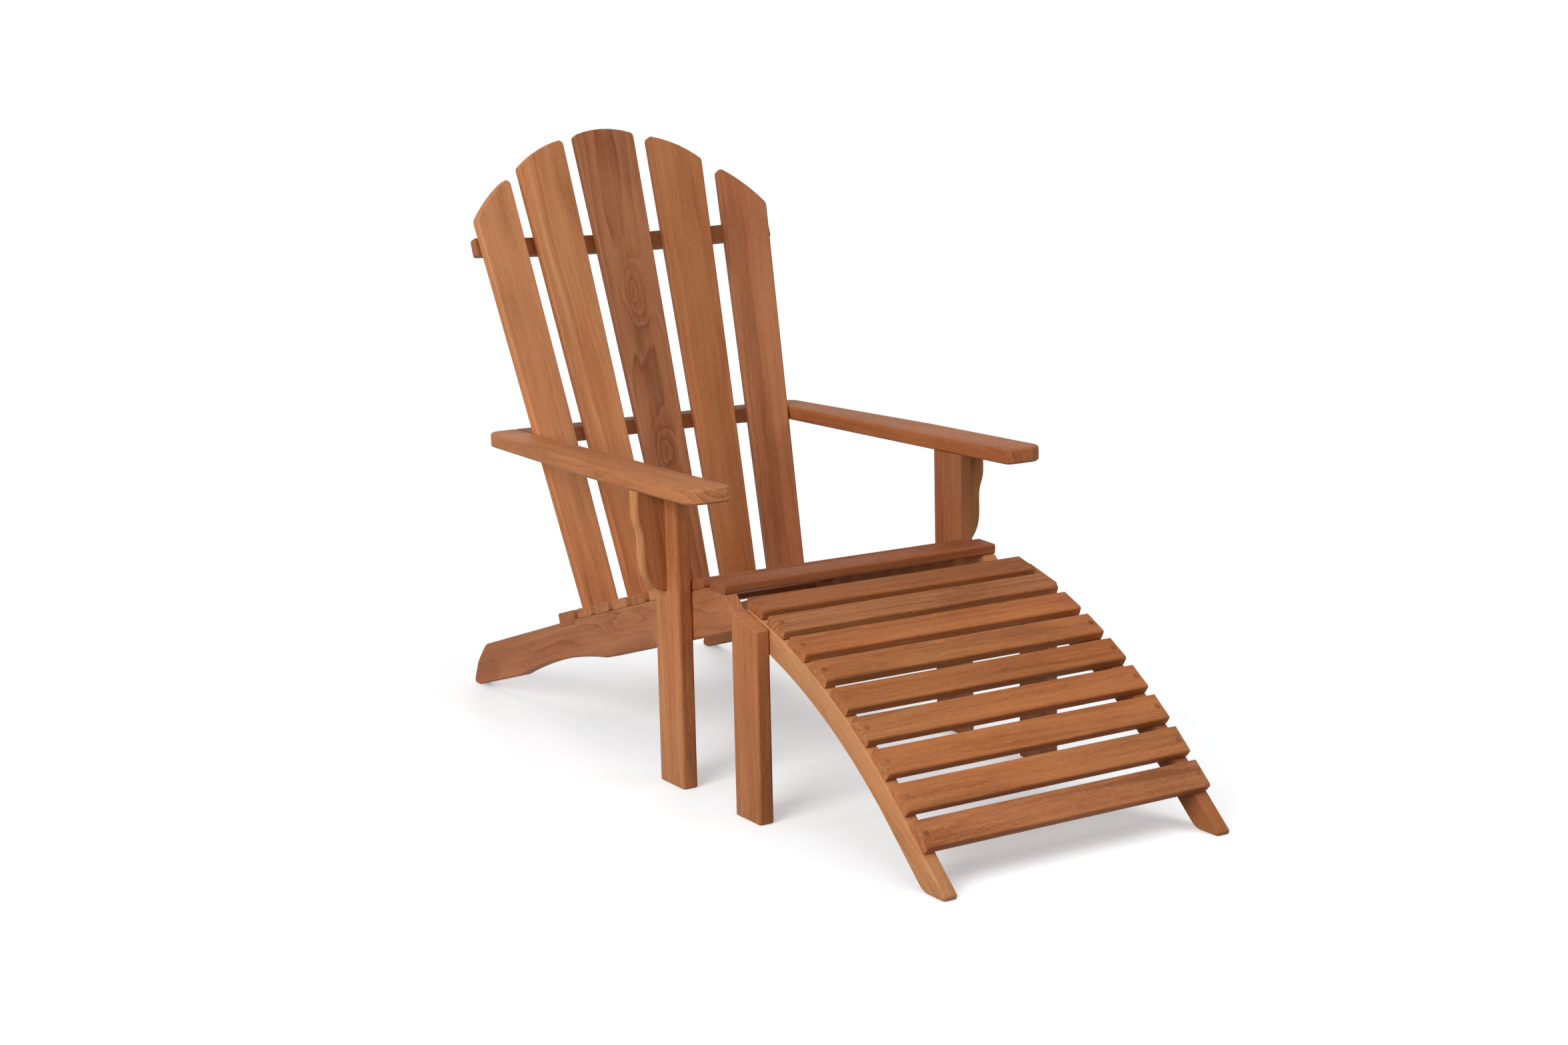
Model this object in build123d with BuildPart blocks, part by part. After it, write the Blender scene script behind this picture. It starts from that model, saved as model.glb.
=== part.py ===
"""A teak adirondack chair and the curved slatted footrest that stands at its front."""
import os
from math import asin, atan, cos, degrees, radians, sin, sqrt, tan

from build123d import *

# Millimetres and degrees. X runs across the seat, Y to the rear and Z up from the floor.
# Left is the side at negative X, as the chair is seen from the front.
# The origin lies on the floor, under the middle of the chair with its footrest.
leg_front = -87.7           # front face of the chair's legs, along Y

# Side rails of the seat: one sloping board each side, which is also the rear foot
seat_half = 271.0           # middle of the seat to the outer face of a side rail
rail_thick = 25.0
rail_depth = 79.5
rail_slope = 16.4           # fall of the seat towards the rear
rail_height = 336.0         # top edge above the floor, at the front of the legs
rail_bevel = 2.5            # eased edges
arch_middle = 540.0         # shallow arch in the lower edge, measured along the board
arch_length = 375.0
arch_rise = 13.5
arch_blend = 60.0           # radius that eases the arch into the straight edge
sole_length = 17.0          # flat of the rear foot on the floor
tail_drop = 67.0            # depth of the farthest point of the tail below the top edge
tail_slant = 75.0           # length of the tail's rounded end along the board
tail_bulge = 9.0
tail_round = 8.0
tail_sweep = 75.0           # radius of the tail's rounded end
tail_tuck = 3.0             # the foot is set in this far under the tail
tail_dip = 6.0              # the top edge falls away this much behind the seat
tail_ease = 400.0
shoulder_round = 35.0
sole_round = 5.0
sole_ease = 15.0            # radius between the lower edge and the flat of the foot
nose_tilt = 3.0             # fall of the nose towards the front, where the first slat sits
nose_bevel = 37.0
nose_rake = 12.0            # the nose leans this far over its chin
nose_round = 13.0
nose_ease = 60.0            # radius where the nose leaves the sloping edge
nose_lip = 6.0

# Seat slats
slat_thick = 17.0
slat_width = 53.5
slat_gap = 17.0
slat_count = 7
slat_start = -38.0          # front edge of the first sloping slat, along the rail
slat_round = 3.5
slat_end_gap = 1.0          # ends stand this far inside the rails' outer faces
front_slat_width = 50.0
board_width = 63.0          # rear board, which carries the back
board_thick = 26.0
notch_clear = 0.2

# Front legs, arms and their brackets
leg_thick = 28.0
leg_width = 80.0
leg_round = 5.0
leg_bevel = 2.0
arm_top = 531.0
arm_thick = 26.0
arm_reach = 140.0           # overhang in front of the legs
arm_width = 81.0
arm_rear_width = 60.0
arm_straight = 340.0        # length at full width before the arm narrows
arm_corner = 30.0           # outer front corner in plan
arm_inner_corner = 12.0
arm_rear_corner = 24.0
arm_joint_corner = 7.0      # rear inner corner, beside the lower back rail
arm_ease = 400.0            # radius of the bend where the arm starts to narrow
arm_round = 5.0             # upper edges
arm_bevel = 3.0             # lower edges
bracket_thick = 27.0
bracket_set = 36.0          # its front face behind the front of the leg
bracket_reach = 51.5        # out from the leg, under the arm
bracket_waist = 42.0        # out from the leg, below the ogee
bracket_straight = 38.0
bracket_ogee = 46.0         # height of the S curve
bracket_waist_height = 30.0
bracket_toe = 58.0          # height of the rounded lower end
bracket_bevel = 2.5

# Back: five fanned slats, dished across, under one arched top
back_tilt = 19.6            # lean from the vertical
back_set = 29.5             # front edge of the rear board to the middle slat, along the seat
back_bend = 1575.0          # radius of the dish
back_thick = 18.0
back_margin = 36.6          # outer slat's foot inside the side rail's outer face
back_foot_width = (75.0, 70.4, 73.5)    # middle, inner and outer slat at the seat
back_spread = (0.0586, 0.0452, 0.0293)  # growth of each width up the slat
back_apex = 905.0           # top of the arch above the seat, along the slat
back_arch = 288.0           # radius at the top of the arch, which falls away as a parabola
back_crown = 4.0            # each slat's top is cut this much rounder than the arch
back_corner = 9.0
back_shoulder = 17.0        # outer corners of the arch
back_bevel = 2.5
back_seat_clear = 0.05      # between a slat's rear face and the rails behind it
back_seat_margin = 3.0      # the rails' flats run on this far past a slat's edges
batten_height = 33.0        # upper back rail
batten_depth = 20.0
batten_place = 669.5        # its lower face above the seat, along the slat
batten_overhang = 12.0      # past the outer slats
batten_bevel = 2.5
cross_depth = 41.0          # lower back rail behind the middle slat, at the top of the arms
cross_round = 4.0           # its rear edges

# Footrest: two bent rails on legs, with slats over the bend
foot_gap = 166.0            # front of the chair's legs to the rear of the footrest
foot_leg_width = 76.0
foot_leg_thick = 27.0
foot_bend = 973.0           # radius of the rail's top edge
foot_bend_below = 608.0     # centre of the bend under the floor
foot_bend_behind = 231.0    # centre of the bend behind the footrest's rear end
foot_bend_end = 42.5        # slope at which the bend runs out straight to the toe
foot_rail_thick = 25.0
foot_rail_depth = 42.0
foot_rail_bevel = 2.5
foot_end_round = 6.0
toe_round = 5.0
heel_round = 32.0
foot_slat_count = 9
foot_slat_width = 50.0
foot_slat_gap = 14.6
foot_slat_inset = 3.0       # ends stand this far inside the rails' outer faces
foot_seat_clear = 0.05      # between a flat slat and the top of the bent rail

slope_cos = cos(radians(rail_slope))
slope_sin = sin(radians(rail_slope))
tilt_cos = cos(radians(back_tilt))
tilt_sin = sin(radians(back_tilt))
arm_under = arm_top - arm_thick
slat_pitch = slat_width + slat_gap
board_start = slat_start + slat_count * slat_pitch
board_let = board_thick - slat_thick
back_total = back_foot_width[0] + 2 * back_foot_width[1] + 2 * back_foot_width[2]
back_gap = (2 * (seat_half - back_margin) - back_total) / 4
sides = ("left", "right")


def keep(piece, name):
    """Label a finished piece and write it out."""
    piece.part.label = name
    export_step(piece.part, f"parts/{name}.step")


def on_rail(along, up):
    """A (Y, Z) point measured along the side rail's top edge and square to it."""
    y = leg_front + along * slope_cos + up * slope_sin
    z = rail_height - along * slope_sin + up * slope_cos
    return (y, z)


def ahead(point, distance, fall):
    """The (Y, Z) point that lies forward of another, on a line falling to the front."""
    return (point[0] - distance * cos(radians(fall)), point[1] - distance * sin(radians(fall)))


def slat_plane(point, fall):
    """A slat's cross-section: x runs to the rear and falls with the seat, y is square to it."""
    run = (0, cos(radians(fall)), -sin(radians(fall)))
    return Plane(origin=(0, *point), x_dir=run, z_dir=(1, 0, 0))


def make_slat(point, fall, width, thick, half):
    """A board across the seat with rounded edges, its lower front edge at the point."""
    with BuildPart() as slat:
        with BuildSketch(slat_plane(point, fall)):
            with Locations((width / 2, thick / 2)):
                RectangleRounded(width, thick, slat_round)
        extrude(amount=half, both=True)
    return slat


back_foot = on_rail(board_start + back_set, slat_thick)
cross_height = (arm_top - back_foot[1]) / tilt_cos
arm_rear = back_foot[0] + cross_height * tilt_sin + back_thick / tilt_cos + cross_depth

os.makedirs("parts", exist_ok=True)

# Side rails
nose_root = on_rail(slat_start - slat_gap / 2, 0)
nose_edge = ahead(nose_root, slat_gap / 2 + front_slat_width, nose_tilt)
nose_tip = ahead(nose_edge, nose_bevel, 45)
tip_along = (nose_tip[0] - leg_front) * slope_cos - (nose_tip[1] - rail_height) * slope_sin
floor_along = (rail_height - rail_depth * slope_cos) / slope_sin
tail_along = floor_along + sole_length
tail_point = on_rail(tail_along, -tail_drop)
board_point = on_rail(board_start, -board_let)
arch_radius = (arch_length**2 / 4 + arch_rise**2) / (2 * arch_rise)
rail_corners = (
    (nose_root, nose_ease),
    (on_rail(board_start + board_width / 2, 0), tail_ease),
    (on_rail(tail_along - tail_slant, -tail_dip), shoulder_round),
    (on_rail(tail_along - tail_slant / 2 + tail_bulge, -tail_drop / 2), tail_sweep),
    (tail_point, tail_round),
    ((tail_point[0] - tail_tuck, 0), sole_round),
    (on_rail(floor_along, -rail_depth), sole_ease),
    (on_rail(tip_along + nose_rake, -rail_depth), nose_round),
    (nose_tip, nose_round),
    (nose_edge, nose_lip),
)
for side in sides:
    with BuildPart() as rail:
        with BuildSketch(Plane.YZ.offset(seat_half)) as outline:
            with BuildLine():
                FilletPolyline(
                    *[corner for corner, size in rail_corners],
                    radius=[size for corner, size in rail_corners],
                    close=True,
                )
            make_face()
            with Locations(on_rail(arch_middle, arch_rise - rail_depth - arch_radius)):
                Circle(arch_radius, mode=Mode.SUBTRACT)
            for end in (-arch_length / 2, arch_length / 2):
                arch_end = on_rail(arch_middle + end, -rail_depth)
                fillet(outline.vertices().sort_by_distance(arch_end)[0], arch_blend)
        extrude(amount=-rail_thick)
        chamfer(rail.faces().filter_by(Axis.X).edges(), rail_bevel)
        with BuildSketch(slat_plane(board_point, rail_slope)):
            with Locations((board_width / 2, board_thick / 2)):
                Rectangle(board_width + 2 * notch_clear, board_thick)
        extrude(amount=seat_half, mode=Mode.SUBTRACT)
        if side == "left":
            mirror(about=Plane.YZ, mode=Mode.REPLACE)
    keep(rail, f"side_rail_{side}")

# Front legs
for side in sides:
    with BuildPart() as leg:
        with BuildSketch():
            with Locations((seat_half + leg_thick / 2, leg_front + leg_width / 2)):
                RectangleRounded(leg_thick, leg_width, leg_round)
        extrude(amount=arm_under)
        chamfer(leg.faces().sort_by(Axis.Z)[0].edges(), leg_bevel)
        if side == "left":
            mirror(about=Plane.YZ, mode=Mode.REPLACE)
    keep(leg, f"front_leg_{side}")

# Seat slats, numbered from the front, and the rear board
slat_half = seat_half - slat_end_gap
slat_places = [(nose_edge, -nose_tilt, front_slat_width)]
for number in range(slat_count):
    slat_places.append((on_rail(slat_start + number * slat_pitch, 0), rail_slope, slat_width))
for number, (point, fall, width) in enumerate(slat_places, start=1):
    keep(make_slat(point, fall, width, slat_thick, slat_half), f"seat_slat_{number}")
keep(make_slat(board_point, rail_slope, board_width, board_thick, slat_half), "seat_board_rear")

# Arms
arm_outline = (
    ((seat_half, leg_front - arm_reach), arm_inner_corner),
    ((seat_half + arm_width, leg_front - arm_reach), arm_corner),
    ((seat_half + arm_width, leg_front - arm_reach + arm_straight), arm_ease),
    ((seat_half + arm_rear_width, arm_rear), arm_rear_corner),
    ((seat_half, arm_rear), arm_joint_corner),
)
for side in sides:
    with BuildPart() as arm:
        with BuildSketch(Plane.XY.offset(arm_under)):
            with BuildLine():
                FilletPolyline(
                    *[corner for corner, size in arm_outline],
                    radius=[size for corner, size in arm_outline],
                    close=True,
                )
            make_face()
        extrude(amount=arm_thick)
        fillet(arm.faces().sort_by(Axis.Z)[-1].edges(), arm_round)
        chamfer(arm.faces().sort_by(Axis.Z)[0].edges(), arm_bevel)
        if side == "left":
            mirror(about=Plane.YZ, mode=Mode.REPLACE)
    keep(arm, f"arm_{side}")


def clear_of(point, leg_face, arm_face):
    """Whether a bracket's edge stands off the two faces that it is joined to."""
    return point.X > leg_face + bracket_bevel and point.Z < arm_face - bracket_bevel


# Brackets that carry the overhang of the arms, with an ogee outer edge
ogee_shift = bracket_reach - bracket_waist
ogee_turn = 2 * atan(ogee_shift / bracket_ogee)
ogee_radius = bracket_ogee / (2 * sin(ogee_turn))
leg_outer = seat_half + leg_thick
waist_end = arm_under - bracket_straight - bracket_ogee - bracket_waist_height
for side in sides:
    with BuildPart() as bracket:
        with BuildSketch(Plane.XZ.offset(-leg_front - bracket_set)):
            with BuildLine():
                top = Line((leg_outer, arm_under), (leg_outer + bracket_reach, arm_under))
                edge = Line(top @ 1, (leg_outer + bracket_reach, arm_under - bracket_straight))
                hollow = JernArc(edge @ 1, edge % 1, ogee_radius, -degrees(ogee_turn))
                swell = JernArc(hollow @ 1, hollow % 1, ogee_radius, degrees(ogee_turn))
                waist = Line(swell @ 1, (leg_outer + bracket_waist, waist_end))
                EllipticalCenterArc((leg_outer, waist_end), bracket_waist, bracket_toe, 270, arc_size=90)
                Line((leg_outer, waist_end - bracket_toe), top @ 0)
            make_face()
        extrude(amount=-bracket_thick)
        outer_edges = bracket.faces().filter_by(Axis.Y).edges()
        joined = (leg_outer, arm_under)
        chamfer(outer_edges.filter_by(lambda e: clear_of(e.center(), *joined)), bracket_bevel)
        if side == "left":
            mirror(about=Plane.YZ, mode=Mode.REPLACE)
    keep(bracket, f"arm_bracket_{side}")

# Back slats, numbered from the left
back_up = Vector(0, tilt_sin, tilt_cos)
back_rear = Vector(0, tilt_cos, -tilt_sin)
seat_plane = Plane(origin=(0, *back_foot), z_dir=(0, slope_sin, slope_cos))


def slat_edges(place):
    """Inner and outer edge of a back slat at the seat, and how fast each moves out up the slat."""
    inner = -back_foot_width[0] / 2
    inner_lean = -back_spread[0] / 2
    outer = back_foot_width[0] / 2
    outer_lean = back_spread[0] / 2
    for number in range(1, place + 1):
        inner = outer + back_gap
        inner_lean = outer_lean
        outer = inner + back_foot_width[number]
        outer_lean = inner_lean + back_spread[number]
    return (inner, inner_lean), (outer, outer_lean)


def arch_height(across):
    """Height of the arched top above the seat, along the back."""
    return back_apex - across**2 / (2 * back_arch)


def arch_meets(foot, lean):
    """Where a slat's straight edge ends, a little under the arched top: its place across and height."""
    fall = 2 * back_arch * back_apex - foot**2
    half = back_arch + foot * lean
    height = fall / (half + sqrt(half**2 + lean**2 * fall)) - back_crown
    return (foot + lean * height, height)


def slat_turn(place):
    """How far a back slat is turned in, in radians, so that it lies on the dished back."""
    (inner, inner_lean), (outer, outer_lean) = slat_edges(place)
    middle = (inner + outer + (inner_lean + outer_lean) * back_apex / 2) / 2
    return asin(middle / back_bend)


def dish_point(turn, radius):
    """A point of the back seen along the slats: across, and to the rear of the middle slat's face."""
    return (radius * sin(turn), radius * cos(turn) - back_bend)


for number in range(1, 6):
    place = abs(number - 3)
    turn = slat_turn(place)
    across, rear = dish_point(turn, back_bend)
    face_point = Vector(across, *back_foot) + back_rear * rear
    face_out = Vector(-sin(turn), 0, 0) - back_rear * cos(turn)
    face_side = Vector(cos(turn), 0, 0) - back_rear * sin(turn)
    edges = slat_edges(place)
    feet = [(foot - lean * back_thick - across, -back_thick) for foot, lean in edges]
    tops = [(top - across, height) for top, height in (arch_meets(*edge) for edge in edges)]
    crown_across = (tops[0][0] + tops[1][0]) / 2
    crown = (crown_across, arch_height(crown_across + across))
    with BuildPart() as back_slat:
        with BuildSketch(Plane(face_point, x_dir=face_side, z_dir=face_out)) as outline:
            with BuildLine():
                Line(feet[0], tops[0])
                ThreePointArc(tops[0], crown, tops[1])
                Line(tops[1], feet[1])
                Line(feet[1], feet[0])
            make_face()
            fillet(outline.vertices().sort_by_distance(tops[0])[0], back_corner)
            outer_corner = back_shoulder if place == 2 else back_corner
            fillet(outline.vertices().sort_by_distance(tops[1])[0], outer_corner)
        extrude(amount=-back_thick)
        chamfer(back_slat.faces().filter_by(Plane(face_point, z_dir=face_out)).edges(), back_bevel)
        split(bisect_by=seat_plane, keep=Keep.TOP)
        if number < 3:
            mirror(about=Plane.YZ, mode=Mode.REPLACE)
    keep(back_slat, f"back_slat_{number}")

# Back rails, cut to the flats of the slats' rear faces
rear_radius = back_bend + back_thick + back_seat_clear


def on_flat(place, across):
    """The point at a distance across on the rear face of a slat, or on that face drawn out."""
    turn = slat_turn(place)
    touch = dish_point(turn, rear_radius)
    return (across, touch[1] - (across - touch[0]) * tan(turn))


def slat_seats(height, half):
    """The line along the slats' rear faces at a height, out to half the length each way."""
    line = [on_flat(2, half)]
    for place in (1, 0):
        inner, inner_lean = slat_edges(place + 1)[0]
        outer, outer_lean = slat_edges(place)[1]
        line.append(on_flat(place + 1, inner + inner_lean * height - back_seat_margin))
        line.append(on_flat(place, outer + outer_lean * height + back_seat_margin))
    return line + [(-across, rear) for across, rear in reversed(line)]


def across_plane(height):
    """A plane square to the back slats: x across, y to the rear of the middle slat's face."""
    return Plane(Vector(0, *back_foot) + back_up * height, x_dir=(1, 0, 0), z_dir=back_up)


with BuildPart() as batten:
    batten_radius = rear_radius + batten_depth
    outer, outer_lean = slat_edges(2)[1]
    batten_half = outer + outer_lean * batten_place + batten_overhang
    batten_turn = asin(batten_half / batten_radius)
    seats = slat_seats(batten_place + batten_height / 2, batten_half)
    with BuildSketch(across_plane(batten_place)):
        with BuildLine():
            Polyline(*seats)
            ThreePointArc(
                dish_point(-batten_turn, batten_radius),
                dish_point(0, batten_radius),
                dish_point(batten_turn, batten_radius),
            )
            Line(dish_point(batten_turn, batten_radius), seats[0])
            Line(dish_point(-batten_turn, batten_radius), seats[-1])
        make_face()
    extrude(amount=batten_height)
    along = batten.faces().sort_by(Axis.X)
    rear_edges = batten.edges().filter_by(GeomType.CIRCLE)
    chamfer(rear_edges + along[0].edges() + along[-1].edges(), batten_bevel)
keep(batten, "back_rail_upper")

with BuildPart() as cross:
    with BuildSketch(Plane.XY.offset(arm_under)):
        with Locations((0, arm_rear)):
            Rectangle(2 * seat_half, 2 * arm_width, align=(Align.CENTER, Align.MAX))
    extrude(amount=arm_thick)
    fillet(cross.faces().sort_by(Axis.Y)[-1].edges().filter_by(Axis.X), cross_round)
    with BuildSketch(across_plane(0)):
        with BuildLine():
            seats = slat_seats(cross_height, seat_half + arm_width)
            Polyline(*seats)
            ThreePointArc(seats[-1], (0, -back_bend / 2), seats[0])
        make_face()
    extrude(amount=back_apex, both=True, mode=Mode.SUBTRACT)
keep(cross, "back_rail_lower")

# Footrest
foot_rear = leg_front - foot_gap
bend_y = foot_rear + foot_bend_behind


def on_bend(turn, radius):
    """A (Y, Z) point of the footrest's bend, at an angle forward of its highest place."""
    return (bend_y - radius * sin(turn), radius * cos(turn) - foot_bend_below)


def to_floor(point):
    """Where the straight run of the footrest rail from a point reaches the floor."""
    return (point[0] - point[1] / tan(radians(foot_bend_end)), 0)


bend_low = foot_bend - foot_rail_depth
bend_end = radians(foot_bend_end)
top_start = asin(foot_bend_behind / foot_bend)
low_start = asin(foot_bend_behind / bend_low)
for side in sides:
    with BuildPart() as foot_rail:
        with BuildSketch(Plane.YZ.offset(seat_half)) as outline:
            with BuildLine():
                upper = ThreePointArc(
                    on_bend(top_start, foot_bend),
                    on_bend((top_start + bend_end) / 2, foot_bend),
                    on_bend(bend_end, foot_bend),
                )
                toe = to_floor(on_bend(bend_end, foot_bend))
                heel = to_floor(on_bend(bend_end, bend_low))
                Polyline(upper @ 1, toe, heel, on_bend(bend_end, bend_low))
                lower = ThreePointArc(
                    on_bend(bend_end, bend_low),
                    on_bend((low_start + bend_end) / 2, bend_low),
                    on_bend(low_start, bend_low),
                )
                Line(lower @ 1, upper @ 0)
            make_face()
            fillet(outline.vertices().sort_by_distance(toe)[0], toe_round)
            fillet(outline.vertices().sort_by_distance(heel)[0], heel_round)
            fillet(outline.vertices().group_by(Axis.X)[-1], foot_end_round)
        extrude(amount=-foot_rail_thick)
        chamfer(foot_rail.faces().filter_by(Axis.X).edges(), foot_rail_bevel)
        if side == "left":
            mirror(about=Plane.YZ, mode=Mode.REPLACE)
    keep(foot_rail, f"foot_rail_{side}")

for side in sides:
    with BuildPart() as foot_leg:
        with BuildSketch(Plane.YZ.offset(seat_half)):
            with BuildLine():
                foot_front = foot_rear - foot_leg_width
                front_turn = asin((bend_y - foot_front) / foot_bend)
                Polyline(
                    (foot_rear, 0), on_bend(top_start, foot_bend), on_bend(front_turn, foot_bend),
                    (foot_front, 0), close=True,
                )
            make_face()
        extrude(amount=foot_leg_thick)
        fillet(foot_leg.edges().filter_by(Axis.Z), leg_round)
        chamfer(foot_leg.faces().sort_by(Axis.Z)[0].edges(), leg_bevel)
        chamfer(foot_leg.faces().sort_by(Axis.Z)[-1].edges(), leg_bevel)
        if side == "left":
            mirror(about=Plane.YZ, mode=Mode.REPLACE)
    keep(foot_leg, f"foot_leg_{side}")

foot_half = seat_half - foot_slat_inset
foot_pitch = foot_slat_width + foot_slat_gap
straight_start = (bend_end - top_start) * foot_bend
for number in range(1, foot_slat_count + 1):
    run = foot_slat_width / 2 + (number - 1) * foot_pitch
    turn = min(top_start + run / foot_bend, bend_end)
    seat = on_bend(turn, foot_bend + foot_seat_clear)
    past = max(run - straight_start, 0)
    middle = ahead(seat, past, degrees(turn))
    front = ahead(middle, foot_slat_width / 2, degrees(turn))
    foot_slat = make_slat(front, -degrees(turn), foot_slat_width, slat_thick, foot_half)
    keep(foot_slat, f"foot_slat_{number}")
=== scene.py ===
# %% [markdown]
# # A teak garden chair with a footrest
# Every board of the chair is already there as a solid, at its real size and in its real place. This
# lesson does not touch those shapes. It gives each board its own piece of teak, adds the wooden plugs
# that hide the screws, and sets up a plain studio.

# %% Load the boards
import math
import random
from collections import namedtuple

import bmesh
import bpy
import numpy as np
from mathutils import Euler, Matrix, Vector


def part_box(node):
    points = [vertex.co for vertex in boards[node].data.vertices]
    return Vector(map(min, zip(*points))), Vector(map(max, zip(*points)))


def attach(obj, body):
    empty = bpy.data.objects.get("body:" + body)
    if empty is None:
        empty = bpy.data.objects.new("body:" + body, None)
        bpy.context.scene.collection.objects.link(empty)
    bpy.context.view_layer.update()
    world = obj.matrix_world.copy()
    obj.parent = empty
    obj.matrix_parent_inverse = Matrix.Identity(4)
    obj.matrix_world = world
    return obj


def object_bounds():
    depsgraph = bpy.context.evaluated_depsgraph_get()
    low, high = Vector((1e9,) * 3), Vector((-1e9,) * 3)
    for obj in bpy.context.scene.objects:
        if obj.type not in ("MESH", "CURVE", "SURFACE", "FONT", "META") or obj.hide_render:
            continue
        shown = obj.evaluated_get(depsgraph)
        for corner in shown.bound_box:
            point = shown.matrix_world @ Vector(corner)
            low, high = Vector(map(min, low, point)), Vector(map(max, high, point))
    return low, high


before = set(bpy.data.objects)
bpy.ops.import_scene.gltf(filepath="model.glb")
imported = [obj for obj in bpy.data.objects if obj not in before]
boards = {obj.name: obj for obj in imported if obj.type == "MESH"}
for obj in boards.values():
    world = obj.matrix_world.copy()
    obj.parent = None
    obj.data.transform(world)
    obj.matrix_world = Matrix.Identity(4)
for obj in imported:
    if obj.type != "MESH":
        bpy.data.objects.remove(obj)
solid_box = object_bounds()
chair_middle = (solid_box[0] + solid_box[1]) / 2
print(len(boards), "boards in a box of", [round(side, 3) for side in solid_box[1] - solid_box[0]], "m")

# %% [markdown]
# ## The camera
# The camera stands to the front left of the chair, a little above the back's top, and looks down on
# it. Its place and its three angles were worked out from the straight edges in the picture. A camera
# can be aimed with a constraint, but writing its matrix is plainer: the three columns are its right,
# its up and its back direction.

# %% Place the camera
lens = 56.95
camera_place = Vector((-2.23295, -3.56161, 1.19981))
camera_azimuth = math.radians(-31.65)
camera_elevation = math.radians(10.70)
camera_roll = math.radians(-1.32)

back = Vector((
    math.sin(camera_azimuth) * math.cos(camera_elevation),
    -math.cos(camera_azimuth) * math.cos(camera_elevation),
    math.sin(camera_elevation),
))
level = Vector((0, 0, 1)).cross(back).normalized()
upright = back.cross(level)
right = level * math.cos(camera_roll) + upright * math.sin(camera_roll)
up = upright * math.cos(camera_roll) - level * math.sin(camera_roll)
turn = Matrix((right, up, back)).transposed().to_4x4()

bpy.ops.object.select_all(action="DESELECT")
bpy.ops.object.camera_add()
camera = bpy.context.object
camera.name = "camera"
camera.data.lens = lens
camera.matrix_world = Matrix.Translation(camera_place) @ turn
bpy.context.scene.camera = camera
print("camera", round((camera_place - chair_middle).length, 2), "m from the chair")

# %% [markdown]
# ## Helpers for node trees
# Materials are graphs of nodes. A few small helpers keep the cells short. The first adds a node, sets
# its options, and fills each input with a value or with a link from another node's output. The others
# are for the nodes that come up most: sums on numbers, sums on vectors, and a change of range.

# %% Add a node
def add(tree, kind, inputs, **options):
    """Adds a node to a tree; each input gets a value or a link."""
    made = tree.nodes.new(kind)
    for key, value in options.items():
        setattr(made, key, value)
    for key, value in inputs.items():
        if isinstance(value, bpy.types.NodeSocket):
            tree.links.new(value, made.inputs[key])
        else:
            made.inputs[key].default_value = value
    return made


def numbers(tree, operation, *inputs):
    """The output of a Math node."""
    return add(tree, "ShaderNodeMath", dict(enumerate(inputs)), operation=operation).outputs[0]


def vectors(tree, operation, *inputs):
    """The output of a Vector Math node: a number for a length or a product of two, else a vector."""
    made = add(tree, "ShaderNodeVectorMath", dict(enumerate(inputs)), operation=operation)
    return made.outputs["Value" if operation in ("LENGTH", "DOT_PRODUCT") else "Vector"]


def remap(tree, value, low, high, new_low=0.0, new_high=1.0):
    """The output of a Map Range node, clamped to the new range."""
    inputs = dict(enumerate((value, low, high, new_low, new_high)))
    return add(tree, "ShaderNodeMapRange", inputs).outputs[0]


def seen(tree):
    """One where a ray comes from the camera, straight or by way of gloss or glass."""
    path = tree.nodes.new("ShaderNodeLightPath").outputs
    straight = numbers(tree, "MAXIMUM", path["Is Camera Ray"], path["Is Glossy Ray"])
    return numbers(tree, "MAXIMUM", straight, path["Is Transmission Ray"])


print("helpers:", ", ".join(helper.__name__ for helper in (add, numbers, vectors, remap, seen)))

# %% [markdown]
# ## The studio
# The chair stands on a white floor in front of a white wall. The wall is never modelled: the world
# itself is white wherever the camera sees it, and dimmer where it lights the chair. A modelled wall
# would throw back light of its own, and its corner with the floor would have to be hidden.

# %% Make the world
ambient = 0.28
white = (1, 1, 1, 1)

world = bpy.data.worlds.new("studio")
bpy.context.scene.world = world
world.use_nodes = True
air = world.node_tree
air.nodes.clear()
lighting = add(air, "ShaderNodeBackground", {"Color": white, "Strength": ambient})
wall = add(air, "ShaderNodeBackground", {"Color": white, "Strength": 1.0})
shown = add(air, "ShaderNodeMixShader", {0: seen(air), 1: lighting.outputs[0], 2: wall.outputs[0]})
add(air, "ShaderNodeOutputWorld", {"Surface": shown.outputs[0]})
print("world lights the chair at", ambient)

# %% [markdown]
# The floor is a wide disc. Close to the chair it is a matt surface that takes the shadow, with some
# glow of its own, so that it is white where no shadow falls. Further out it is only white, so its rim
# can't be seen. All this is for the camera. For the light that the floor throws back up it is a dull
# grey, because a white floor would brighten the undersides of the boards too much.

# %% Lay the floor
floor_radius = 14.0
floor_sides = 96
floor_drop = 0.0003
floor_middle = -0.25
floor_shade = (0.93, 0.95, 0.97, 1)
floor_bounce = (0.28, 0.28, 0.28, 1)
floor_glow = 0.33
shadow_reach = 1.05
white_reach = 1.75

bpy.ops.object.select_all(action="DESELECT")
bpy.ops.mesh.primitive_circle_add(
    vertices=floor_sides, radius=floor_radius, fill_type="NGON", location=(0, floor_middle, -floor_drop)
)
floor = bpy.context.object
floor.name = "floor"

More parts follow.
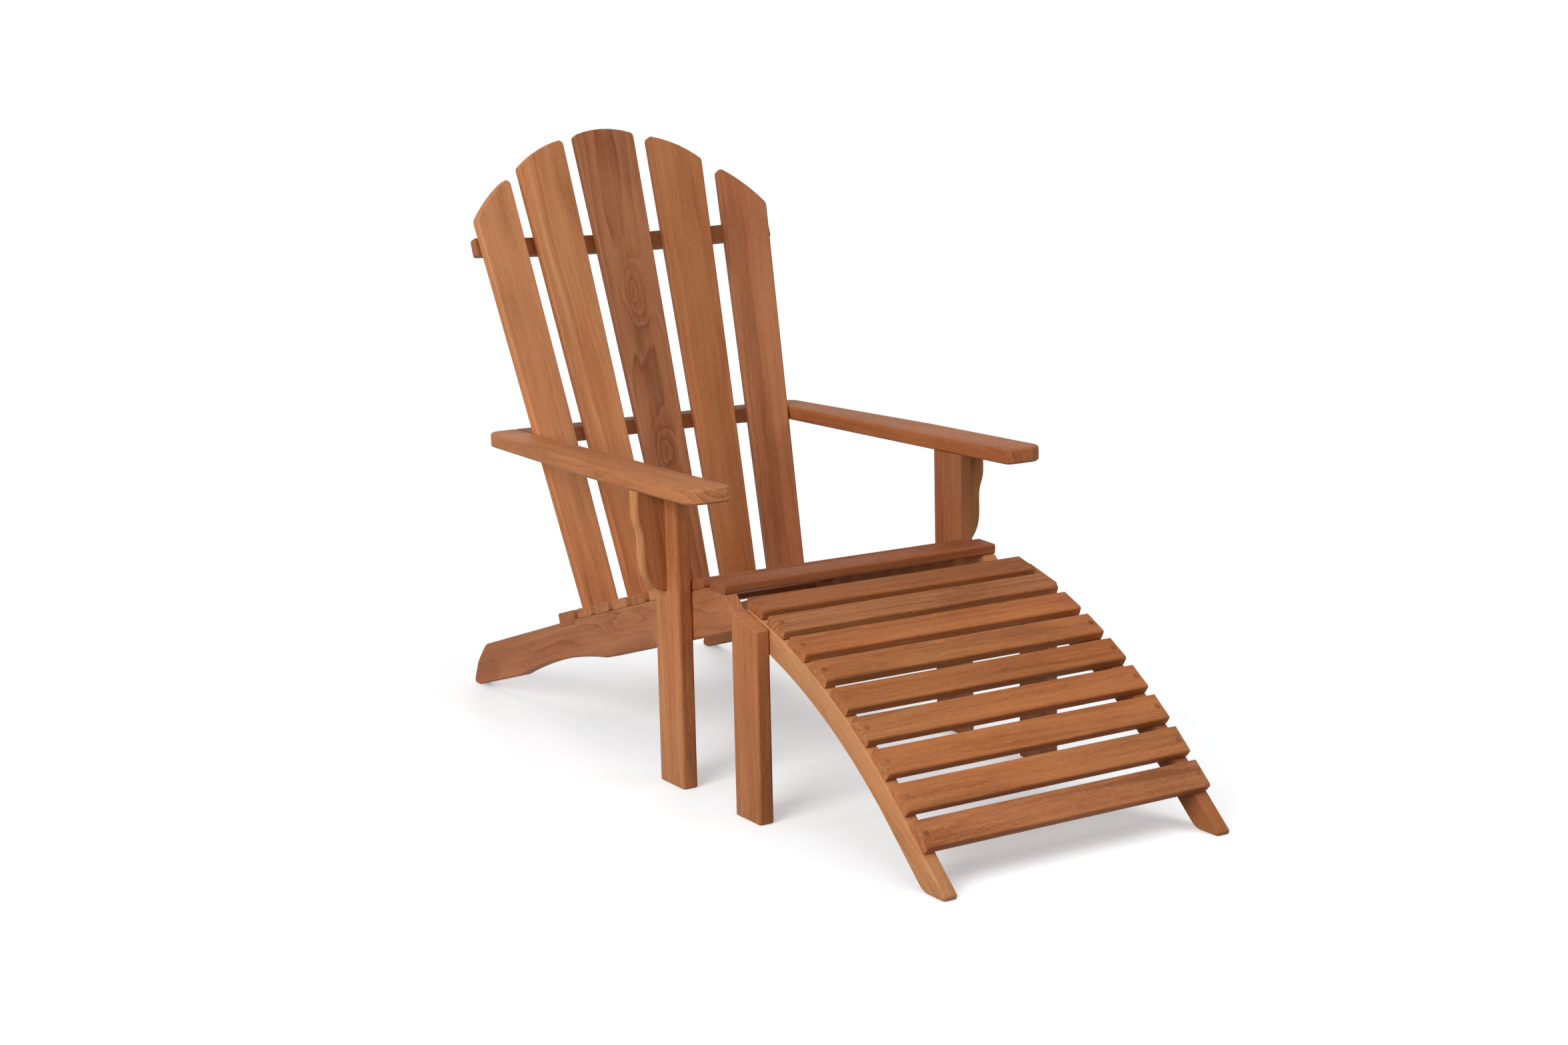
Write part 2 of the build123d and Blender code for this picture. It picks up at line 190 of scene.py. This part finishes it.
paper = bpy.data.materials.new("floor_white")
paper.use_nodes = True
tree = paper.node_tree
tree.nodes.clear()
spot = tree.nodes.new("ShaderNodeTexCoord").outputs["Object"]
fade = remap(tree, vectors(tree, "LENGTH", spot), shadow_reach, white_reach)
matt = add(tree, "ShaderNodeBsdfDiffuse", {"Color": floor_shade})
dull = add(tree, "ShaderNodeBsdfDiffuse", {"Color": floor_bounce})
glow = add(tree, "ShaderNodeEmission", {"Strength": floor_glow})
bright = add(tree, "ShaderNodeEmission", {"Strength": 1.0})
near = add(tree, "ShaderNodeAddShader", {0: matt.outputs[0], 1: glow.outputs[0]})
ground = add(tree, "ShaderNodeMixShader", {0: fade, 1: near.outputs[0], 2: bright.outputs[0]})
chosen = add(tree, "ShaderNodeMixShader", {0: seen(tree), 1: dull.outputs[0], 2: ground.outputs[0]})
add(tree, "ShaderNodeOutputMaterial", {"Surface": chosen.outputs[0]})
floor.data.materials.append(paper)
print("floor", floor_radius, "m in radius, shadow kept within", shadow_reach, "m")

# %% [markdown]
# The light is that of a large window to the left: the sides of the boards that face it are the
# brightest, the tops come next, and the faces towards the camera's right are in soft shade. One wide
# lamp does this. A second one, high up at the front right, keeps the shaded faces from going black,
# and a weak one overhead lights the tops but not the hollow under the seat. Two lamps have a narrower
# task. One lights nothing but the floor, by light linking, so that the shadow stays pale. The rear one
# shows the back to whoever walks round the chair. From the front it would lie on the arms as a pale
# sheen, so it is kept out of reflections.

# %% Hang the lamps
def lamp(name, place, aim, width, power):
    """A square area lamp that looks at a point."""
    bpy.ops.object.select_all(action="DESELECT")
    bpy.ops.object.light_add(type="AREA", location=place)
    made = bpy.context.object
    made.name = name
    made.data.size = width
    made.data.energy = power
    made.rotation_euler = (Vector(aim) - Vector(place)).to_track_quat("-Z", "Y").to_euler()
    return made


window_lamp = lamp("window", (-3.8, -1.7, 2.1), chair_middle, 2.6, 138.0)
fill_lamp = lamp("fill", (2.2, -3.0, 4.0), chair_middle, 2.6, 66.0)
top_lamp = lamp("overhead", (0.0, 0.0, 3.4), chair_middle, 3.0, 4.0)
floor_lamp = lamp("floor_lamp", (0.0, -0.3, 6.0), (0.0, -0.3, 0.0), 4.0, 62.0)
rear_lamp = lamp("rear", (1.6, 3.8, 0.8), chair_middle, 1.2, 40.0)

lit_floor = bpy.data.collections.new("lit_floor")
lit_floor.objects.link(floor)
floor_lamp.light_linking.receiver_collection = lit_floor
rear_lamp.visible_glossy = False
for made in (window_lamp, fill_lamp, top_lamp, floor_lamp, rear_lamp):
    print("lamp", made.name, "of", made.data.energy, "W")

# %% [markdown]
# ## How a board lies in the log
# Teak looks alive because each board is cut from another part of a log. To copy that, the pattern is
# made in the log and not on the board: rings around the log's middle line, fibres along it. So each
# board needs to know its own directions. They could be typed in for each board, but they can also be
# read from how its surface is spread: most along the grain, less across the width, least through the
# thickness.

# %% Find the directions of a board
def directions(board):
    """A board's middle, and its directions along, across and through, as the rows of a matrix."""
    board.data.calc_loop_triangles()
    points = np.array([vertex.co for vertex in board.data.vertices], float)
    corners = points[np.array([triangle.vertices for triangle in board.data.loop_triangles])]
    areas = np.array([triangle.area for triangle in board.data.loop_triangles])
    middle = np.average(corners.mean(axis=1), axis=0, weights=areas)
    corners = corners - middle
    sums = corners.sum(axis=1)
    spread = np.einsum("t,ti,tj->ij", areas, sums, sums)
    spread += np.einsum("t,tci,tcj->ij", areas, corners, corners)
    along, across = np.linalg.eigh(spread)[1].T[[2, 1]]
    along = along * np.sign(along[np.abs(along).argmax()])
    across = across * np.sign(across[np.abs(across).argmax()])
    return Vector(middle), Matrix((along, across, np.cross(along, across)))


for name in ("back_slat_1", "arm_left", "foot_rail_left"):
    print(name, "runs along", [round(v, 2) for v in directions(boards[name])[1][0]])

# %% [markdown]
# ## Teak
# Oiled teak is a warm brown with darker growth rings, long streaks, smoky patches and fine open pores.
# A picture of wood could be wrapped round the boards, but then the ends would show side grain and the
# pattern would repeat. Here the wood is solid: every layer is a function of the place in the log, so
# the sides and the ends of a board fit together like those of a sawn one. Most layers are noise that
# is stretched along the log. No trunk grows straight, so the places themselves wander a little first.

# %% Tools for the wood
noise_roughness = 0.55


def linear(red, green, blue):
    """A colour written in screen values from 0 to 255, as a shader wants it."""
    shares = [value / 255 for value in (red, green, blue)]
    return [s / 12.92 if s <= 0.04045 else ((s + 0.055) / 1.055) ** 2.4 for s in shares]


def ramp(tree, value, stops):
    """The output of a colour ramp; each stop is a position and a colour."""
    made = add(tree, "ShaderNodeValToRGB", {"Fac": value})
    for position, colour in stops[1:-1]:
        made.color_ramp.elements.new(position)
    for element, (position, colour) in zip(made.color_ramp.elements, stops):
        element.position = position
        element.color = (*colour, 1)
    return made.outputs[0]


def grey_ramp(tree, value, stops):
    """The same for grey values; each stop is a position and a number."""
    return ramp(tree, value, [(position, (grey,) * 3) for position, grey in stops])


def noise(tree, log, waves, detail=2.0):
    """The outputs of a noise that is stretched along the log: waves per metre along, across, through."""
    inputs = {"Vector": vectors(tree, "MULTIPLY", log, waves), "Scale": 1.0, "Detail": detail}
    return add(tree, "ShaderNodeTexNoise", {**inputs, "Roughness": noise_roughness}).outputs


def along_log(tree, log, waves, detail=2.0):
    """The grey value of such a noise."""
    return noise(tree, log, waves, detail)[0]


def wander(tree, log, waves, reach):
    """The places in the log, pushed to and fro across the grain by up to about half the reach."""
    drift = vectors(tree, "SUBTRACT", noise(tree, log, waves)["Color"], (0.5, 0.5, 0.5))
    return vectors(tree, "MULTIPLY_ADD", drift, (0, reach, reach), log)


def tint(tree, colour, share, shade):
    """A colour that is multiplied by a shade, as far as the share says."""
    inputs = {0: share, 6: colour, 7: (*shade, 1)}
    return add(tree, "ShaderNodeMix", inputs, data_type="RGBA", blend_type="MULTIPLY").outputs[2]


print("screen grey 128 is", round(linear(128, 128, 128)[0], 3), "to a shader")

# %% [markdown]
# Some marks belong to one place on one board. An eye is where a branch left the trunk. A band is a
# stretch of lighter or darker wood along the grain, sharp on one side and fading on the other. Both
# could be painted on, but as functions of the place in the log they go right through the board.

# %% Shape the eyes and the bands
Eye = namedtuple("Eye", "along across length width swelling darker")
Band = namedtuple("Band", "along across length width lean darker")
band_stops = [(0.0, 0.0), (0.07, 1.0), (0.4, 0.6), (1.0, 0.0)]


def hill(tree, log, spot, length, width):
    """One at a spot of the board, right through it, and smoothly less around it."""
    stretch = Vector((1 / length, 1 / width, 0))
    offset = vectors(tree, "MULTIPLY_ADD", log, stretch, -(spot * stretch))
    square = vectors(tree, "DOT_PRODUCT", offset, offset)
    return numbers(tree, "EXPONENT", numbers(tree, "MULTIPLY", square, -1.0))


def flank(tree, log, spot, length, width, lean):
    """A band along the board: one at its sharp edge, and less and less across its width."""
    across = vectors(tree, "DOT_PRODUCT", log, (-lean / width, 1 / width, 0))
    offset = numbers(tree, "SUBTRACT", across, (spot.y - lean * spot.x) / width)
    slope = grey_ramp(tree, offset, band_stops)
    return numbers(tree, "MULTIPLY", slope, hill(tree, log, spot, length, 1.0))


print("an eye has its", ", ".join(Eye._fields), "and a band its", ", ".join(Band._fields))

# %% [markdown]
# A growth ring starts pale, deepens through the year and stops at a thin dark line. The distance from
# the log's middle line gives the year. Slow and quick noise is added to that distance, which makes the
# rings wavy, and the years differ in length. Around a branch the rings swell: where a saw cuts through
# such a swelling, the board shows an eye. Elsewhere the rings come and go in patches.

# %% Draw the growth rings
ring_width = 0.011
ring_drift = 0.030
ring_ripple = 0.004
drift_waves = (2.4, 6.0, 6.0)
ripple_waves = (16.0, 60.0, 60.0)
patch_waves = (3.0, 14.0, 14.0)
patch_limits = (0.35, 0.65)
patch_range = (0.15, 1.0)
weather_waves = 0.35
weather_years = 1.6
ring_stops = [(0.0, 0.05), (0.25, 0.35), (0.68, 0.60), (0.88, 1.0), (1.0, 0.05)]


def rings(tree, log, swellings):
    """The growth rings of a log: dark lines are one. Each swelling is a hill and its height."""
    growth = vectors(tree, "LENGTH", vectors(tree, "MULTIPLY", log, (0, 1, 1)))
    drift = along_log(tree, log, drift_waves)
    ripple = along_log(tree, log, ripple_waves)
    for rise, height in [(drift, ring_drift), (ripple, ring_ripple), *swellings]:
        growth = numbers(tree, "ADD", growth, numbers(tree, "MULTIPLY", rise, height))
    years = numbers(tree, "DIVIDE", growth, ring_width)
    inputs = {"W": years, "Scale": weather_waves}
    weather = add(tree, "ShaderNodeTexNoise", inputs, noise_dimensions="1D").outputs[0]
    years = numbers(tree, "ADD", years, numbers(tree, "MULTIPLY", weather, weather_years))
    ring = grey_ramp(tree, numbers(tree, "FRACT", years), ring_stops)
    patch = remap(tree, along_log(tree, log, patch_waves), *patch_limits, *patch_range)
    for rise, height in swellings:
        patch = numbers(tree, "MAXIMUM", patch, rise)
    shown = numbers(tree, "MULTIPLY", numbers(tree, "SUBTRACT", ring, 0.5), patch)
    return numbers(tree, "ADD", shown, 0.5)


print("a growth ring about every", ring_width * 1000, "mm")

# %% [markdown]
# The layers add up to one number, the depth of colour: rings first, then streaks, smoky clouds, grain,
# fibres and flecks, each with its weight, and last the eyes and bands of this board. Half is the
# board's own tone. The eyes are made uneven by a slow noise, because no two sides of one are alike.
# On a sawn end the rings count for more, as they do on a real one.

# %% Add up the layers
noise_limits = (0.3, 0.7)
uneven_waves = (9.0, 30.0, 30.0)
uneven_range = (0.75, 1.25)
end_figure = 0.32
end_middle = 0.4
Layer = namedtuple("Layer", "waves detail weight fine")
layer_of = {
    "streak": Layer((1.1, 32.0, 32.0), 3.0, 0.90, False),
    "cloud": Layer((4.0, 13.0, 13.0), 4.0, 0.95, False),
    "grain": Layer((2.2, 130.0, 130.0), 3.0, 0.55, True),
    "fibre": Layer((40.0, 480.0, 480.0), 2.0, 0.35, True),
    "fleck": Layer((160.0, 520.0, 520.0), 1.0, 0.30, True),
}


def depth_of_colour(tree, log, pith, sawn, figure, eyes, bands, coarse):
    """How dark the wood is, around one half, and the fibres that its relief follows."""
    uneven = remap(tree, along_log(tree, log, uneven_waves), *noise_limits, *uneven_range)
    layers = []
    swellings = []
    for eye in eyes:
        spot = hill(tree, log, pith + Vector((eye.along, eye.across, 0)), eye.length, eye.width)
        spot = numbers(tree, "MULTIPLY", spot, uneven)
        swellings.append((spot, eye.swelling))
        layers.append((spot, eye.darker))
    for band in bands:
        place = pith + Vector((band.along, band.across, 0))
        strip = flank(tree, log, place, band.length, band.width, band.lean)
        layers.append((strip, band.darker))
    ring = rings(tree, log, swellings)
    noises = {name: along_log(tree, log, layer.waves, layer.detail) for name, layer in layer_of.items()}
    even = [(ring, figure)]
    for name, layer in layer_of.items():
        even.append((noises[name], layer.weight * (coarse if layer.fine else 1.0)))
    end_ring = numbers(tree, "MULTIPLY", numbers(tree, "SUBTRACT", ring, end_middle), sawn)
    depth = 0.5 - sum(weight for value, weight in even) / 2
    for value, weight in [*even, *layers, (end_ring, end_figure)]:
        depth = numbers(tree, "ADD", depth, numbers(tree, "MULTIPLY", value, weight))
    return depth, noises["fibre"]


print(len(layer_of), "layers of noise lie over the rings")

# %% [markdown]
# A ramp turns the depth of colour from light through the board's own tone to dark. Then the surface
# gets what it has from its making: reddish patches, dark pores and sawn ends that are a little paler.
# The edges are painted paler as well, a painted highlight for the light that a rounded edge catches.
# A Bevel node finds the edges, and it also softens the light on them. On a board that asks for it the
# narrow sides are painted paler too: painted light, as on sides that face the lamp. The fibres and
# pores make the surface a little uneven, in gloss and in relief.

# %% Mix the teak
wander_waves = (2.6, 7.0, 7.0)
wander_reach = 0.030
facing_limits = (0.55, 0.95)
light_share = (1.26, 1.37, 1.44)
dark_share = (0.62, 0.53, 0.48)
red_waves = (1.6, 11.0, 11.0)
red_limits = (0.42, 0.66)
red_shade = (1.06, 0.93, 0.86)
pore_waves = (110.0, 2600.0, 2600.0)
pore_limits = (0.60, 0.72)
pore_shade = (0.80, 0.74, 0.70)
end_shade = (1.05, 1.08, 1.12)
edge_radius = 0.0015
edge_limits = (0.995, 0.86)
painted_edge_highlight = (1.10, 1.13, 1.15)
painted_side_light = (1.32, 1.48, 1.52)
roughness_range = (0.46, 0.62)
relief_strength = 0.22
relief_depth = 0.0004
shine = 0.12


def facing(tree, normal, direction):
    """One on the faces that look along a direction, either way, and nothing on the others."""
    turned = numbers(tree, "ABSOLUTE", vectors(tree, "DOT_PRODUCT", normal, direction))
    return remap(tree, turned, *facing_limits)


def teak(name, middle, rows, pith, tone, figure, eyes=(), bands=(), paint_lit_sides=False, coarse=1.0):
    """A board's own teak. The rows are the board's directions around its middle, and the pith is where
    the log's middle line lies, across and through the board. The figure is how strongly the rings show,
    coarse is how much the fine layers count, and the flag before coarse makes the narrow sides paler:
    painted light."""
    wood = bpy.data.materials.new(name)
    wood.use_nodes = True
    tree = wood.node_tree
    shader = tree.nodes["Principled BSDF"]
    where = tree.nodes.new("ShaderNodeTexCoord").outputs
    inputs = {"Vector": where["Object"], "Location": pith - rows @ middle, "Rotation": rows.to_euler()}
    log = wander(tree, add(tree, "ShaderNodeMapping", inputs).outputs[0], wander_waves, wander_reach)

    sawn = facing(tree, where["Normal"], rows[0])
    depth, fibre = depth_of_colour(tree, log, pith, sawn, figure, eyes, bands, coarse)
    shades = [[t * s for t, s in zip(tone, shares)] for shares in (light_share, (1, 1, 1), dark_share)]
    colour = ramp(tree, depth, list(zip((0.0, 0.5, 1.0), shades)))

    red = remap(tree, along_log(tree, log, red_waves), *red_limits)
    pores = remap(tree, along_log(tree, log, pore_waves, 1.0), *pore_limits)
    soft = add(tree, "ShaderNodeBevel", {"Radius": edge_radius}, samples=4).outputs[0]
    hard = tree.nodes.new("ShaderNodeNewGeometry").outputs["Normal"]
    # The edges that the Bevel node finds get a painted highlight: the tint below makes them paler.
    highlighted = remap(tree, vectors(tree, "DOT_PRODUCT", soft, hard), *edge_limits)
    tints = [(red, red_shade), (pores, pore_shade), (sawn, end_shade), (highlighted, painted_edge_highlight)]
    # A board that asks for it gets its narrow sides painted paler: painted light, as on a side that faces
    # the lamp.
    if paint_lit_sides:
        tints.append((facing(tree, where["Normal"], rows[1]), painted_side_light))
    for share, shade in tints:
        colour = tint(tree, colour, share, shade)
    tree.links.new(colour, shader.inputs["Base Color"])

    tree.links.new(remap(tree, fibre, *noise_limits, *roughness_range), shader.inputs["Roughness"])
    inputs = {"Strength": relief_strength, "Distance": relief_depth, "Normal": soft}
    relief = numbers(tree, "SUBTRACT", fibre, pores)
    bump = add(tree, "ShaderNodeBump", {**inputs, "Height": relief}).outputs[0]
    tree.links.new(bump, shader.inputs["Normal"])
    shader.inputs["Specular IOR Level"].default_value = shine
    return wood


print("edges are rubbed over", edge_radius * 1000, "mm")

# %% [markdown]
# ## A board for every piece
# No two boards of the chair have the same tone. Thirteen tones are enough, from peach to bark, if each
# board is then made a little lighter or darker. The cut says where in the log a board lay: how far
# the middle line is from it, across and through the board, and how strongly the rings show. Near the
# middle line a board shows arches, and further out it shows straight lines.

# %% Name the tones and the cuts
tone_of = {
    "peach": linear(200, 136, 91),
    "straw": linear(195, 137, 91),
    "honey": linear(192, 128, 83),
    "apricot": linear(190, 123, 77),
    "amber": linear(181, 120, 77),
    "gold": linear(178, 113, 67),
    "rose": linear(175, 112, 74),
    "bronze": linear(170, 104, 59),
    "copper": linear(169, 107, 65),
    "russet": linear(162, 103, 68),
    "walnut": linear(151, 94, 55),
    "chestnut": linear(147, 86, 53),
    "bark": linear(138, 80, 43),
}
cut_of = {
    "figured": (0.012, 0.05, 0.75),
    "arched": (0.012, 0.05, 0.52),
    "flat": (0.012, 0.05, 0.32),
    "rift": (0.085, 0.06, 0.25),
    "striped": (0.085, 0.06, 0.60),
    "quarter": (0.15, 0.02, 0.20),
}
print(len(tone_of), "tones and", len(cut_of), "cuts")

# %% [markdown]
# The boards that show best have their tone and cut given one by one, and the rest draw theirs by chance.
# The slats of the seat and the footrest, the front legs and the arms are of coarser wood. On one bracket
# under the arms the narrow sides are painted paler, as painted light.

# %% Choose the wood of the boards
wood_of = {
    "arm_left": ("apricot", "flat"),
    "arm_right": ("copper", "rift"),
    "arm_bracket_left": ("amber", "rift"),
    "arm_bracket_right": ("amber", "rift"),
    # The back rails get a dark tone that is partly painted shade: the shade of the slats in front of them.
    "back_rail_lower": ("walnut", "rift"),
    "back_rail_upper": ("walnut", "rift"),
    "back_slat_1": ("peach", "quarter"),
    "back_slat_2": ("honey", "rift"),
    "back_slat_3": ("russet", "figured"),
    "back_slat_4": ("copper", "quarter"),
    "back_slat_5": ("rose", "quarter"),
    "front_leg_left": ("honey", "rift"),
    "front_leg_right": ("russet", "striped"),
    "side_rail_left": ("rose", "arched"),
    "seat_slat_1": ("chestnut", "flat"),
    "seat_slat_2": ("chestnut", "rift"),
    "foot_leg_left": ("amber", "rift"),
    "foot_rail_left": ("straw", "quarter"),
    "foot_slat_1": ("walnut", "rift"),
    "foot_slat_2": ("copper", "striped"),
    "foot_slat_3": ("gold", "rift"),
    "foot_slat_4": ("gold", "flat"),
    "foot_slat_5": ("bronze", "quarter"),
    "foot_slat_6": ("gold", "rift"),
    "foot_slat_7": ("gold", "flat"),
    "foot_slat_8": ("gold", "quarter"),
    "foot_slat_9": ("amber", "flat"),
}
other_tones = ("amber", "copper")
other_cuts = ("flat", "rift", "quarter")
coarse_of = {"foot_slat": 1.9, "seat_slat": 1.9, "front_leg": 1.5, "arm": 1.25}
# The left bracket under the arms gets painted light on its narrow sides.
painted_lit_boards = ("arm_bracket_left",)
print(len(wood_of), "boards are chosen by hand")

# %% [markdown]
# The largest marks lie where they lie on the real boards: two eyes down the middle slat of the back
# with smoky wood around them, yellow bands on the slat beside it, an eye at the front of the left rail
# and a small pale one on the footrest. Places are in metres from the board's middle. An eye without a
# swelling only makes the wood darker, or paler where the last number is negative. A band fades across
# the board from its sharp edge, and the sign of its width says to which side.

# %% Mark the eyes and the bands
eyes_of = {
    # The upper rail's left end stands out past the first slat, where no shade falls, so there it is made
    # paler again.
    "back_rail_upper": [Eye(-0.315, 0.000, 0.035, 0.200, 0.0, -1.00)],
    "back_slat_1": [
        Eye(0.400, 0.012, 0.130, 0.030, 0.022, 0.05),
        # This eye has no swelling: it only makes the first slat darker towards its bottom, below the arm.
        Eye(-0.380, 0.000, 0.200, 0.200, 0.0, 0.15),
    ],
    "back_slat_3": [
        Eye(0.098, -0.004, 0.060, 0.024, 0.040, 0.28),
        Eye(-0.020, -0.012, 0.070, 0.020, 0.010, 0.26),
        Eye(-0.218, 0.001, 0.070, 0.024, 0.036, 0.20),
        Eye(0.390, 0.000, 0.040, 0.045, 0.0, 0.20),
        Eye(0.330, 0.020, 0.030, 0.015, 0.0, 0.20),
        Eye(0.240, -0.030, 0.060, 0.015, 0.0, 0.15),
    ],
    "back_slat_4": [Eye(0.000, 0.039, 0.060, 0.009, 0.0, 0.25)],
    "side_rail_left": [
        Eye(-0.134, 0.008, 0.080, 0.020, 0.020, 0.0),
        Eye(-0.452, 0.024, 0.034, 0.020, 0.040, 0.12),
        Eye(-0.420, 0.004, 0.030, 0.012, 0.0, 0.25),
    ],
    "arm_left": [Eye(-0.117, -0.039, 0.050, 0.015, 0.015, 0.0)],
    "foot_slat_4": [Eye(-0.037, 0.019, 0.014, 0.006, 0.012, -0.40)],
}
bands_of = {
    "back_slat_2": [
        Band(0.250, -0.024, 0.200, -0.026, -0.02, -0.45),
        Band(0.280, -0.004, 0.200, -0.014, 0.0, -0.20),
        Band(-0.110, -0.016, 0.070, -0.018, -0.05, -0.45),
    ],
    "back_slat_4": [Band(0.180, -0.028, 0.300, -0.025, 0.0, -0.20)],
    "back_slat_5": [
        Band(0.100, 0.003, 0.400, -0.080, -0.03, 0.16),
        Band(-0.220, 0.017, 0.250, -0.120, 0.0, 0.20),
    ],
    "foot_slat_9": [Band(0.150, 0.006, 0.220, 0.030, -0.012, 0.45)],
    # On the front legs a band runs the whole length over the front face: it makes that face darker on the
    # left leg and paler on the right.
    "front_leg_left": [Band(0.000, -0.036, 2.000, -0.050, 0.0, 0.30)],
    "front_leg_right": [Band(0.000, -0.036, 2.000, -0.050, 0.0, -0.35)],
}
print(sum(map(len, eyes_of.values())), "eyes and", sum(map(len, bands_of.values())), "bands")

# %% [markdown]
# Now each board is sawn from its own log: a piece from anywhere along it, on either side of the middle
# line, and a degree or so out of true. The chances are drawn from a fixed seed, so the same chair comes
# out every time.

# %% Give each board its teak
seed = 7
tone_change = 0.03
out_of_true = 1.2
log_length = 5
chance = random.Random(seed)


def vary(tone):
    """A tone, a little lighter or darker."""
    lift = chance.uniform(1 - tone_change, 1 + tone_change)
    return [value * lift for value in tone]


for name in sorted(boards):
    if name in wood_of:
        tone, cut = wood_of[name]
    else:
        tone = chance.choice(other_tones)
        cut = chance.choice(other_cuts)
    middle, rows = directions(boards[name])
    angles = [math.radians(chance.uniform(-out_of_true, out_of_true)) for _ in range(3)]
    across, through, figure = cut_of[cut]
    place = chance.uniform(0, log_length)
    pith = Vector((place, across * chance.choice((-1, 1)), through * chance.choice((-1, 1))))
    own_tone = vary(tone_of[tone])
    kind = name.rsplit("_", 1)[0]
    marks = (eyes_of.get(name, ()), bands_of.get(name, ()))
    surface = (name in painted_lit_boards, coarse_of.get(kind, 1.0))
    sawn_rows = Euler(angles).to_matrix() @ rows
    wood = teak(name + "_teak", middle, sawn_rows, pith, own_tone, figure, *marks, *surface)
    for slot in boards[name].material_slots:
        slot.material = wood
print(len(boards), "boards have their own teak")

# %% [markdown]
# ## Plugs over the screws
# The slats are screwed to the rails from above, and each screw is hidden by a short teak plug, glued
# in and pared flush. A plug is a cylinder to start with. Its top is inset and raised a hair, because
# a pared plug is never quite flat, and its rim is bevelled, so that a thin dark line shows around it.

# %% Model one plug
plug_radius = 0.005
plug_sides = 40
plug_depth = 0.006
plug_proud = 0.0002
plug_rim = 0.0004
plug_inset = plug_radius * 0.4
plug_crown = 0.00012
smooth_angle = math.radians(30)
upward = 0.9
dead_level = 0.999


def pick_faces(piece, least):
    """Selects the faces of a piece in edit mode whose normals stand at least that upright."""
    shape = bmesh.from_edit_mesh(piece.data)
    for face in shape.faces:
        face.select_set(face.normal.z > least)
    bmesh.update_edit_mesh(piece.data)


bpy.ops.object.select_all(action="DESELECT")
bpy.ops.mesh.primitive_cylinder_add(
    vertices=plug_sides, radius=plug_radius, depth=plug_depth, location=(0, 0, plug_proud - plug_depth / 2)
)
plug = bpy.context.object
plug.name = "plug"
bpy.ops.object.transform_apply(location=True)
bpy.ops.object.mode_set(mode="EDIT")
bpy.ops.mesh.select_mode(type="FACE")
pick_faces(plug, upward)
bpy.ops.mesh.bevel(offset=plug_rim, segments=3, affect="EDGES")
pick_faces(plug, dead_level)
bpy.ops.mesh.inset(thickness=plug_inset)
bpy.ops.transform.translate(value=(0, 0, plug_crown))
bpy.ops.object.mode_set(mode="OBJECT")
bpy.ops.object.shade_smooth_by_angle(angle=smooth_angle)
print("plug of", len(plug.data.polygons), "faces")

# %% [markdown]
# The plugs are cut from offcuts, with the grain along the slat or nearly so. On the footrest they are
# mostly darker than the slats and show as dots. Four pieces of teak are enough for all of them.

# %% Cut the wood for the plugs
plug_turn = 25
plug_pith = Vector((0, 0.09, 0.05))
plug_figure = 0.25

plug_teak = {}
for tone in ("copper", "walnut", "chestnut", "bark"):
    rows = Euler((0, 0, math.radians(chance.uniform(-plug_turn, plug_turn)))).to_matrix()
    plug_teak[tone] = teak("plug_" + tone, Vector(), rows, plug_pith, tone_of[tone], plug_figure)
print("plugs of", ", ".join(plug_teak))

# %% [markdown]
# The plugs stand in a row down each rail: over the middle of the rail, and at the middle of each
# slat's width. Both are read from the boards. The top of a slat is its widest upward face.

# %% Set the plugs
rising_least = 0.3
same_face = 0.9995


def top_of(board):
    """The middle of a board's top face, and the way that it faces."""
    board.data.calc_loop_triangles()
    rising = [t for t in board.data.loop_triangles if t.normal.z > rising_least]
    widest = max(rising, key=lambda t: t.area)
    same = [t for t in rising if t.normal.dot(widest.normal) > same_face]
    whole = sum(t.area for t in same)
    middle = sum((Vector(t.center) * t.area for t in same), Vector()) / whole
    return middle, widest.normal.copy()


foot_slats = ["foot_slat_%d" % number for number in range(1, 10)]
front_slats = ["seat_slat_%d" % number for number in range(1, 3)]
seat_slats = ["seat_slat_%d" % number for number in range(3, 9)]
rows_of_plugs = [
    ("footrest", "foot_rail", "teak_footrest", foot_slats, ("copper", "walnut", "bark")),
    ("chair", "side_rail", "teak_seat", front_slats, ("chestnut", "chestnut")),
    ("chair", "side_rail", "teak_seat", [*seat_slats, "seat_board_rear"], ("copper", "walnut")),
]
plugs = []
for body, rail, slot, slats, tones in rows_of_plugs:
    for slat in slats:
        middle, facing_up = top_of(boards[slat])
        turn = facing_up.to_track_quat("Z", "X").to_matrix().to_4x4()
        for side in ("left", "right"):
            low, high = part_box(rail + "_" + side)
            seat = Vector(((low.x + high.x) / 2, middle.y, middle.z))
            copy = plug.copy()
            copy.data = plug.data.copy()
            copy.name = "_".join(("plug", slat, side))
            copy.data.transform(Matrix.Translation(seat) @ turn)
            copy.data.materials.append(plug_teak[chance.choice(tones)])
            bpy.context.collection.objects.link(copy)
            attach(copy, body)
            plugs.append(copy)
bpy.data.objects.remove(plug)
print(len(plugs), "plugs set")

# %% [markdown]
# ## The picture
# The colours above are written as they should be seen, so the view shows them as they are.

# %% Finish
bpy.context.scene.view_settings.view_transform = "Standard"
